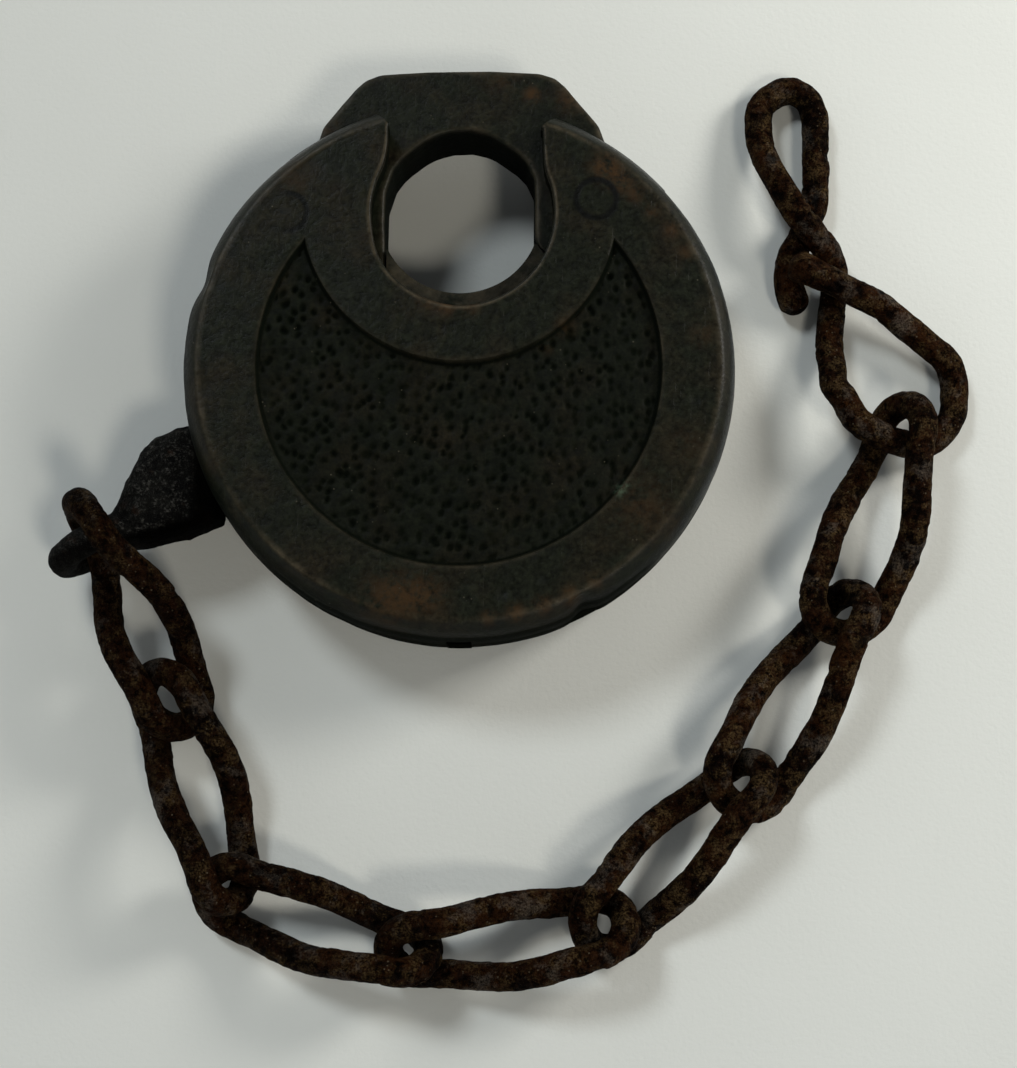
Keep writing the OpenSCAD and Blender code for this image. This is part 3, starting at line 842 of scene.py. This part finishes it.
def shackle_skin():
    """The shackle as a closed skin: one parameter along it, the other round its section, which is a
    flat bar with quarter-round edges between the outer and the inner outline."""
    outer, inner = bow_columns()
    low, high = SHACKLE_LOW[2], SHACKLE_HIGH[2]
    width = np.linalg.norm(inner - outer, axis=1)[:, None]
    bend = 0.45
    lean = np.minimum(bend / width, 0.2)
    quarter = np.radians(np.linspace(0, 90, 6, endpoint=False))
    sine, rest = np.sin(quarter), 1 - np.cos(quarter)
    up = np.linspace(low + bend, high - bend, 9, endpoint=False)
    over = np.linspace(0, 1, 30, endpoint=False)
    parts = [  # share of the way from the outer to the inner outline, height
        (0 * lean, up),
        (lean * rest, high - bend + bend * sine),
        (lean + (1 - 2 * lean) * over, high),
        (1 - lean * (1 - sine), high - bend * rest),
        (1 + 0 * lean, low + high - up),
        (1 - lean * rest, low + bend - bend * sine),
        (1 - lean - (1 - 2 * lean) * over, low),
        (lean * (1 - sine), low + bend * rest)]
    share, z = np.moveaxis(np.concatenate([stacked(*part) for part in parts], axis=1), -1, 0)
    flat = outer[:, None, :] + (inner - outer)[:, None, :] * share[..., None]
    points = raised(flat, z)
    top = ease(high - 0.5, high - 0.02, z)
    z = z + top * (0.05 * rough(points, 7.0, 51) - 0.05)
    shove = (1 - top) * (0.08 * rough(points, 4.0, 57) - 0.02) * np.where(share < 0.5, 1, -1)
    flat = flat + unit(flat - ARCH) * shove[..., None]
    x, y = flat[..., 0], flat[..., 1]
    uneven = 0.25 + 0.75 * (0.5 + 0.5 * noise(points, 5.0, 61))
    wear_and_glint = bell(np.minimum(share, 1 - share) * width, 0.3, 0.35) * (z > high - 1.0) * uneven
    # worn top edges with painted glints, more on the right leg; painted shade on the inner side below the
    # top; painted blue sheen on the sides
    marks = {"wear_and_glint": (0.5 + 0.4 * (x > 8)) * wear_and_glint,
             "painted_shade": 0.9 * (share > 0.98) * ease(high - 0.1, high - 0.6, z),
             "stain": np.clip(bells(x, y, BOW_STAINS), 0, 1), "side": 0.6 * (1 - top)}
    return skin("shackle_bar", raised(flat, z), False, marks, sharp=45)


class ShackleBar(bpy.types.Operator):
    """Shackle: flat bar with rounded, worn edges with painted glints, and the notch for the levers"""
    bl_idname = "padlock.shackle_bar"
    bl_label = "Shackle"

    def execute(self, context):
        finished(shackle_skin(), "shackle", "shackle_iron", "iron_patina", "shackle")
        return {"FINISHED"}


def turned(name, centre, profile, marks):
    """Turned part: (radius, height) points carried round an upright line, ends closed by tiny faces."""
    angle = around(56)
    r, z = profile.T[..., None]
    points = stacked(centre[0] + r * np.cos(angle), centre[1] + r * np.sin(angle), z)
    return skin(name, points, False, marks)


def rivet(name, node, centre_pit):
    """A flush rivet: slightly domed ends with a pit in the middle of the front one if asked."""
    low, high = corners(node)
    r = (high[0] - low[0]) / 2
    head, foot = 0.92 * r, low[2]
    top = high[2] - (0.0 if high[2] > CASE_T - 0.1 else 0.05)
    spread = np.linspace(0.02, 1, 14)
    dome = stacked(head * spread, top - 0.02 - 0.10 * spread ** 4 - centre_pit * bell(spread, 0, 0.16))
    shaft = [(0.97 * head, top - 0.35), (0.97 * r, top - 0.5), (0.97 * r, foot + 0.5), (head, foot + 0.3)]
    tail = stacked(head * spread, foot + 0.02 + 0.10 * spread ** 4)[::-1]
    profile = np.concatenate([dome, shaft, tail])
    in_dome = np.arange(len(profile)) < len(dome)
    # painted shade in the pit of the front end
    pit = bell(profile[:, 0], 0, 0.3 * r) * in_dome * (centre_pit > 0)
    return turned(name, middle(node), profile, {"painted_shade": pit[:, None]})


class Rivets(bpy.types.Operator):
    """Rivets: the pivot's and the keeper's through the case, and the two blind ones below"""
    bl_idname = "padlock.rivets"
    bl_label = "Rivets"

    def execute(self, context):
        for name, node, pit in RIVETS:
            finished(rivet(name, node, pit), "case", "rivet_steel", "rivet_metal", node)
        return {"FINISHED"}


# ---------- chain ----------

WIRE_SIDES = 42
LINK_ROWS = 380
END_ROWS = 760
LINKS = [  # tip, tip, half widths, rolls in degrees, bow
    ((-43.5, -16, 11.7), (-32, -41, 4.5), (4.0, 3.7), (75, -41), 0.7),
    ((-35.5, -35, 5.2), (-26, -61, 4.9), (3.8, 3.9), (39, -57), 0.8),
    ((-29, -59, 3.6), (-3.5, -67, 5.2), (3.8, 3.7), (30, -50), -0.7),
    ((-8, -66.5, 4.5), (19, -63, 4.9), (3.7, 4.0), (39, -40), -0.7),
    ((15, -65.5, 3.9), (34.5, -45.5, 4.9), (4.0, 3.7), (33, -56), 0.2),
    ((31.5, -50, 4.2), (46.5, -25.5, 4.7), (4.6, 3.6), (26, -56), 0),
    ((43.5, -30, 4.7), (53, -3, 4.9), (4.9, 3.7), (26, -57), -0.9)]
END_ROUTE = [
    (39.5, 14.5, 5.3), (43.5, 12.5, 5.3), (48, 10.5, 4.6), (51, 9, 4), (53.5, 7, 3.4),
    (56, 5, 2.9), (58.5, 3, 2.4), (59.5, 0.5, 2), (59.5, -1.5, 1.8), (59, -4, 1.8),
    (57, -6.5, 1.8), (54.5, -7.5, 2.6), (51.8, -7.5, 4.9), (48.5, -6.5, 6.4), (46.5, -5, 6.4),
    (45.5, -2.5, 5.4), (44.5, -0.5, 4.7), (44.5, 2, 3.6), (44.5, 5, 2.4), (45, 9.5, 1.8),
    (45.5, 13.5, 1.8), (44.5, 16, 3.2), (42.5, 18, 5.1), (40.5, 20.5, 5.4), (38.5, 24.5, 4.6),
    (37, 28.5, 3.2), (36.5, 32, 2.2), (37, 35.5, 1.8), (40, 37.5, 1.8), (42.5, 36.5, 1.8),
    (43.5, 34, 1.8), (43.5, 30, 1.8), (43.5, 26, 1.8), (43, 22, 1.8), (41.5, 18.5, 1.8),
    (40, 15.5, 1.8), (40, 12, 1.8), (41, 9, 1.8)]


def link_path(a, b, w, roll, bow):
    """Centreline and flat-side direction of a closed link: a half circle round each tip and a strand
    on each side, with the width and the roll eased from one end to the other and a sideways bow."""
    a, b = np.array(a, float), np.array(b, float)
    level = np.linalg.norm((b - a)[:2])
    along = (b - a) / level
    across = unit(np.array([a[1] - b[1], b[0] - a[0], 0.0]))
    t = np.linspace(0, 1, 120, endpoint=False)
    q = np.radians(180 * t - 90)
    one, strand = np.ones_like(t), w[0] + (level - w[0] - w[1]) * t
    far = ease(0, 1, t)
    forth = np.concatenate([w[0] * (1 - np.cos(q)), strand, level - w[1] * (1 - np.cos(-q)), strand[::-1]])
    aside = np.concatenate([np.sin(q), one, np.sin(-q), -one])
    share = np.concatenate([0 * t, far, one, far[::-1]])
    turn = np.radians(roll[0] + (roll[1] - roll[0]) * share)
    lean = np.cos(turn)[:, None] * across + np.sin(turn)[:, None] * np.array([0, 0, 1.0])
    half = w[0] + (w[1] - w[0]) * share
    u = forth / level
    path = a + forth[:, None] * along + (bow * 4 * u * (1 - u))[:, None] * across
    path = path + (half * aside)[:, None] * lean
    flat = np.cross(along, lean)
    return resampled(path, flat, LINK_ROWS, True)


def route_path(knots):
    """Centreline of an open wire: a Catmull-Rom curve through the knots."""
    p = np.array(knots, float)
    p = np.concatenate([p[:1], p, p[-1:]])
    t = np.linspace(0, 1, 24, endpoint=False)[:, None]
    spans = [b + 0.5 * ((c - a) * t + (2 * a - 5 * b + 4 * c - d) * t ** 2 + (3 * b - 3 * c + d - a) * t ** 3)
             for a, b, c, d in zip(p[:-3], p[1:-2], p[2:-1], p[3:])]
    path = np.concatenate(spans + [p[-1:]])
    return resampled(path, np.tile([0, 0, 1.0], (len(path), 1)), END_ROWS, False)


def resampled(path, flat, count, closed):
    """The same line and its flat side, with count points at even distances along it."""
    if closed:
        path, flat = (np.concatenate([line, line[:1]]) for line in (path, flat))
    far = np.concatenate([[0], np.cumsum(np.linalg.norm(np.diff(path, axis=0), axis=1))])
    at = np.linspace(0, far[-1], count, endpoint=not closed)
    return [stacked(*(np.interp(at, far, line[:, k]) for k in range(3))) for line in (path, flat)]


def wire_skin(name, path, flat, closed, seed, swell=1.0):
    """Rusted wire as a closed skin: a circle carried along the path, its radius raised and lowered by
    noise of three sizes, and swell times as wide in each row."""
    sizes = settings("chain")
    if closed:
        ahead = np.roll(path, -1, axis=0) - np.roll(path, 1, axis=0)
    else:
        ahead = np.gradient(path, axis=0)
    ahead = unit(ahead)
    u = unit(flat - np.sum(flat * ahead, axis=1, keepdims=True) * ahead)
    v = np.cross(ahead, u)
    turn = around(WIRE_SIDES)[None, :, None]
    way = np.cos(turn) * u[:, None, :] + np.sin(turn) * v[:, None, :]
    base = sizes.wire / 2
    points = path[:, None, :] + base * way
    bumps = 0.9 * rough(points, 3.4, seed, 2) + 0.95 * rough(points, 1.15, seed + 4)
    pits = ease(0.2, 0.7, noise(points, 0.9, seed + 8)) * ease(-0.4, 0.3, noise(points, 4.0, seed + 9))
    crags = 0.04 * rough(points, 0.55, seed + 12, 2)
    height = np.clip(sizes.lumps * bumps + crags + 0.01, -0.3, 0.11) - 0.15 * pits
    radius = base * swell * np.ones(len(path))
    grid = path[:, None, :] + (radius[:, None] + height)[..., None] * way
    # painted shade in the wire's low places
    return skin(name, grid, closed, {"painted_shade": ease(-0.03, -0.2, height)}, sharp=60)


def end_swell(length):
    """Share of the wire's radius along the last link: rounded ends, a knob at the first one and a
    thicker neck before the other."""
    s = np.linspace(0, length, END_ROWS)
    tip, tail = (np.sqrt(np.clip(1 - (1 - np.clip(far / round_off, 0, 1)) ** 2, 0.02, 1))
                 for far, round_off in ((s, 1.2), (length - s, 1.4)))
    return tip * tail * (1 + 0.16 * bell(s, 1.6, 1.5) + 0.12 * bell(length - s, 2.5, 3.0))


class ChainLinks(bpy.types.Operator):
    """The closed links of the chain"""
    bl_idname = "padlock.chain_links"
    bl_label = "Chain links"

    def execute(self, context):
        for k, shape in enumerate(LINKS, start=1):
            piece = wire_skin(f"rusty_link_{k}", *link_path(*shape), True, 20 * k)
            finished(piece, f"link_{k}", "chain_rust", "wire_rust", f"link_{k}")
        return {"FINISHED"}


class EndLink(bpy.types.Operator):
    """The last link: one long wire in two loops, wound round its own neck"""
    bl_idname = "padlock.end_link"
    bl_label = "End link"

    def execute(self, context):
        path, flat = route_path(END_ROUTE)
        length = np.sum(np.linalg.norm(np.diff(path, axis=0), axis=1))
        piece = wire_skin("rusty_end_link", path, flat, False, 300, end_swell(length))
        finished(piece, "end_link", "chain_rust", "wire_rust", "end_link")
        return {"FINISHED"}


# Upper edge, lower edge, top and foot of the eye's root, from inside the wall out to the ring
EYE_ROOT = [((-29.5, -5.6), (-27.6, -17.6), 11.0, 1.6), ((-33.2, -6.7), (-31.4, -19.2), 11.7, 1.2),
            ((-36.0, -8.3), (-34.2, -19.9), 11.8, 1.2), ((-38.0, -11.3), (-36.4, -20.3), 11.4, 1.6),
            ((-39.4, -14.6), (-38.4, -20.7), 10.6, 2.6), ((-40.8, -17.4), (-40.0, -20.9), 9.6, 4.2)]
RING = (-42.5, -20.2, 7.0)
RING_R = 4.0
RING_BAR = 3.6
EYE_WAY = (-0.86, -0.51)
SQUARED = 2 / 3.2  # power of sine and cosine that makes an oval this square
VOXEL = 0.30


def eye_root():
    """The eye's root as a closed skin: squared ovals between its two edges, carried outwards."""
    rows = np.array([[*up, *down, top, foot] for up, down, top, foot in EYE_ROOT])
    at = np.linspace(0, len(rows) - 1, 40)
    cells = np.stack([through(list(enumerate(rows[:, k])), at) for k in range(rows.shape[1])], axis=-1)
    turn = around(48)[None, :]
    c, h = (np.sign(wave) * np.abs(wave) ** SQUARED for wave in (np.cos(turn), np.sin(turn)))
    mid = (cells[:, None, 0:2] + cells[:, None, 2:4]) / 2
    half = (cells[:, None, 0:2] - cells[:, None, 2:4]) / 2
    flat = mid + half * c[..., None]
    z = (cells[:, 4:5] + cells[:, 5:6]) / 2 + (cells[:, 4:5] - cells[:, 5:6]) / 2 * h
    return skin("eye_root", raised(flat, z), False)


def eye_ring():
    """The eye's upright ring: a circle carried round a circle."""
    way = unit(np.array([*EYE_WAY, 0.0]))
    turn = around(90)[:, None, None]
    out = np.cos(turn) * way + np.sin(turn) * np.array([0, 0, 1.0])
    over = np.cross(way, [0, 0, 1.0])
    round_bar = around(32)[None, :, None]
    bar = RING_BAR / 2 * (np.cos(round_bar) * out + np.sin(round_bar) * over)
    return skin("eye_ring", np.array(RING) + RING_R * out + bar, True)


class ChainEye(bpy.types.Operator):
    """Forged eye on the side wall: root and ring made one by a remesh, then roughened"""
    bl_idname = "padlock.chain_eye"
    bl_label = "Chain eye"

    def execute(self, context):
        raw = joined("forged_eye_raw", [eye_root(), eye_ring()])
        remesh = raw.modifiers.new("one_skin", "REMESH")
        remesh.mode = "VOXEL"
        remesh.voxel_size = VOXEL * MM
        raw.modifiers.new("soften", "SMOOTH").iterations = 5
        whole = raw.evaluated_get(bpy.context.evaluated_depsgraph_get())
        mesh = bpy.data.meshes.new_from_object(whole)
        bpy.data.objects.remove(raw)
        points = get_points(mesh)
        normals = np.zeros(points.size, np.float32)
        mesh.vertex_normals.foreach_get("vector", normals)
        x, y, z = points.T
        crown = ease(8.8, 10.2, z) * ease(-29.8, -31.4, x) * ease(-19.3, -18.0, y - 0.3 * (x + 35))
        near_ring = ease(3.0, 0.6, np.linalg.norm(points - np.array(RING), axis=1) - RING_R)
        height = 0.22 * rough(points, 3.0, 401) + (0.20 + 0.12 * crown) * rough(points, 1.1, 411)
        height = np.minimum(height * (1 - 0.6 * near_ring) - 0.08, 0.3 - 0.22 * near_ring)
        set_points(mesh, points + normals.reshape(-1, 3) * height[:, None])
        # painted shade in the low places of the scale; the crown keeps the lit colours, the rest is painted
        # in shade
        put_mark(mesh, "painted_shade", ease(-0.05, -0.3, height))
        put_mark(mesh, "crown", np.maximum(crown, 0.45 * near_ring))
        smoothed(mesh)
        mesh.name = "forged_eye"
        finished(placed("forged_eye", mesh), "case", "chain_rust", "eye_scale", "chain_eye")
        return {"FINISHED"}


# ---------- inner works and stage ----------

class LockWorks(bpy.types.Operator):
    """Levers, posts and springs inside the case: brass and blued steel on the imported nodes"""
    bl_idname = "padlock.lock_works"
    bl_label = "Lock works"

    def execute(self, context):
        brass = ["lever_post", "spring_post"] + [f"lever_{k}" for k in range(1, 7)]
        steel = ["shackle_spring"] + [f"lever_spring_{k}" for k in range(1, 7)]
        for material, nodes in (("tarnished_brass", brass), ("blued_steel", steel)):
            for node in nodes:
                dress(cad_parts[node], material)
        return {"FINISHED"}


class StageSizes(bpy.types.PropertyGroup):
    """Camera and lamps, in metres, degrees and watts."""
    lens: FloatProperty(name="Lens", default=60.2, min=20, max=200, description="Focal length")
    distance: FloatProperty(
        name="Distance", default=0.215, min=0.1, max=2, subtype="DISTANCE", unit="LENGTH",
        description="From the camera to the point that it looks at")
    tilt: FloatProperty(
        name="Tilt", default=math.radians(8.7), subtype="ANGLE", unit="ROTATION",
        description="Lean of the camera from straight above towards the foot of the lock")
    aim: FloatVectorProperty(
        name="Aim", default=(0.00566, -0.0178, 0), subtype="XYZ", unit="LENGTH",
        description="Point that the camera looks at")


# Lamps: name, direction and height in degrees, distance and side in metres, watts, colour. Without
# a distance it is a sun, whose size is its angle in degrees and whose power is in watts a square metre
LAMPS = [
    ("warm_lamp", -54, 52, None, 12.0, 0.72, (1.0, 0.945, 0.84)),
    ("low_lamp", 24, 28, 0.33, 0.09, 0.63, (1.0, 0.975, 0.92)),
    ("cool_lamp", 128, 47, None, 14.0, 1.12, (0.87, 0.945, 1.0))]
LIT_POINT = Vector((0, -0.01, 0.005))
SUN_DISTANCE = 0.5
TABLE_REACH = 3.0
SKY = (0.93, 0.97, 1.0, 1)
SKY_DIMS = (0.35, 0.75, 0.70, 0.06)  # from this height to this one, from this strength to this one


def lamp(name, turn, rise, distance, size, power, colour):
    """Square area lamp or soft sun that faces the lock from the given direction and height."""
    data = bpy.data.lights.new(name, "AREA" if distance else "SUN")
    if distance:
        data.size = size
    else:
        data.angle = math.radians(size)
    data.energy = power
    data.color = colour
    turn, rise = math.radians(turn), math.radians(rise)
    way = Vector((math.cos(rise) * math.cos(turn), math.cos(rise) * math.sin(turn), math.sin(rise)))
    holder = placed(name, data)
    holder.location = LIT_POINT + (distance or SUN_DISTANCE) * way
    holder.rotation_euler = way.to_track_quat("Z", "Y").to_euler()


class Stage(bpy.types.Operator):
    """Pale table, soft lamps, a sky that dims overhead, and the camera"""
    bl_idname = "padlock.stage"
    bl_label = "Stage"

    def execute(self, context):
        scene = context.scene
        sizes = settings("stage")
        scene.view_settings.view_transform = "Standard"
        mesh = bpy.data.meshes.new("table_top")
        square = np.array([(-1, -1, 0), (1, -1, 0), (1, 1, 0), (-1, 1, 0)])
        mesh.from_pydata((TABLE_REACH * square).tolist(), [], [(0, 1, 2, 3)])
        table = placed("table_top", mesh)
        dress(table, "table_paper")

        s = Shader("soft_sky", "worlds", "Generated")
        sky = s.tree.nodes["Background"].inputs
        sky["Color"].default_value = SKY
        s.link(s.between(s.axis("Z"), *SKY_DIMS), sky["Strength"])
        scene.world = s.owner
        for row in LAMPS:
            lamp(*row)

        camera = placed("main_camera", bpy.data.cameras.new("main_camera"))
        camera.data.lens = sizes.lens
        camera.data.clip_start = 0.01
        back = np.array([0, -math.sin(sizes.tilt), math.cos(sizes.tilt)])
        camera.location = np.array(sizes.aim) + back * sizes.distance
        camera.rotation_euler = (sizes.tilt, 0, 0)
        scene.camera = camera
        return {"FINISHED"}


class PadlockPanel(bpy.types.Panel):
    """Lists the sizes, colours and steps in the sidebar"""
    bl_label = "Padlock"
    bl_idname = "VIEW3D_PT_padlock"
    bl_space_type = "VIEW_3D"
    bl_region_type = "UI"
    bl_category = "Padlock"

    def draw(self, context):
        for step in STEPS:
            self.layout.operator(step.bl_idname)
        for name, group in GROUPS.items():
            box = self.layout.box()
            for field in group.__annotations__:
                box.prop(getattr(context.scene, name), field)


GROUPS = {"padlock_case": CaseSizes, "padlock_chain": ChainSizes, "padlock_finish": Finish,
          "padlock_stage": StageSizes}
STEPS = [Materials, FrontCasting, BackCasting, ShackleBar, Rivets, ChainEye, ChainLinks, EndLink,
         LockWorks, Stage]


def register():
    for item in (*GROUPS.values(), *STEPS, PadlockPanel):
        bpy.utils.register_class(item)
    for name, group in GROUPS.items():
        setattr(bpy.types.Scene, name, bpy.props.PointerProperty(type=group))


def unregister():
    for name in GROUPS:
        delattr(bpy.types.Scene, name)
    for item in (PadlockPanel, *reversed(STEPS), *reversed(GROUPS.values())):
        bpy.utils.unregister_class(item)


def main():
    register()
    for step in STEPS:
        group, action = step.bl_idname.split(".")
        getattr(getattr(bpy.ops, group), action)()


if __name__ == "__main__":
    main()
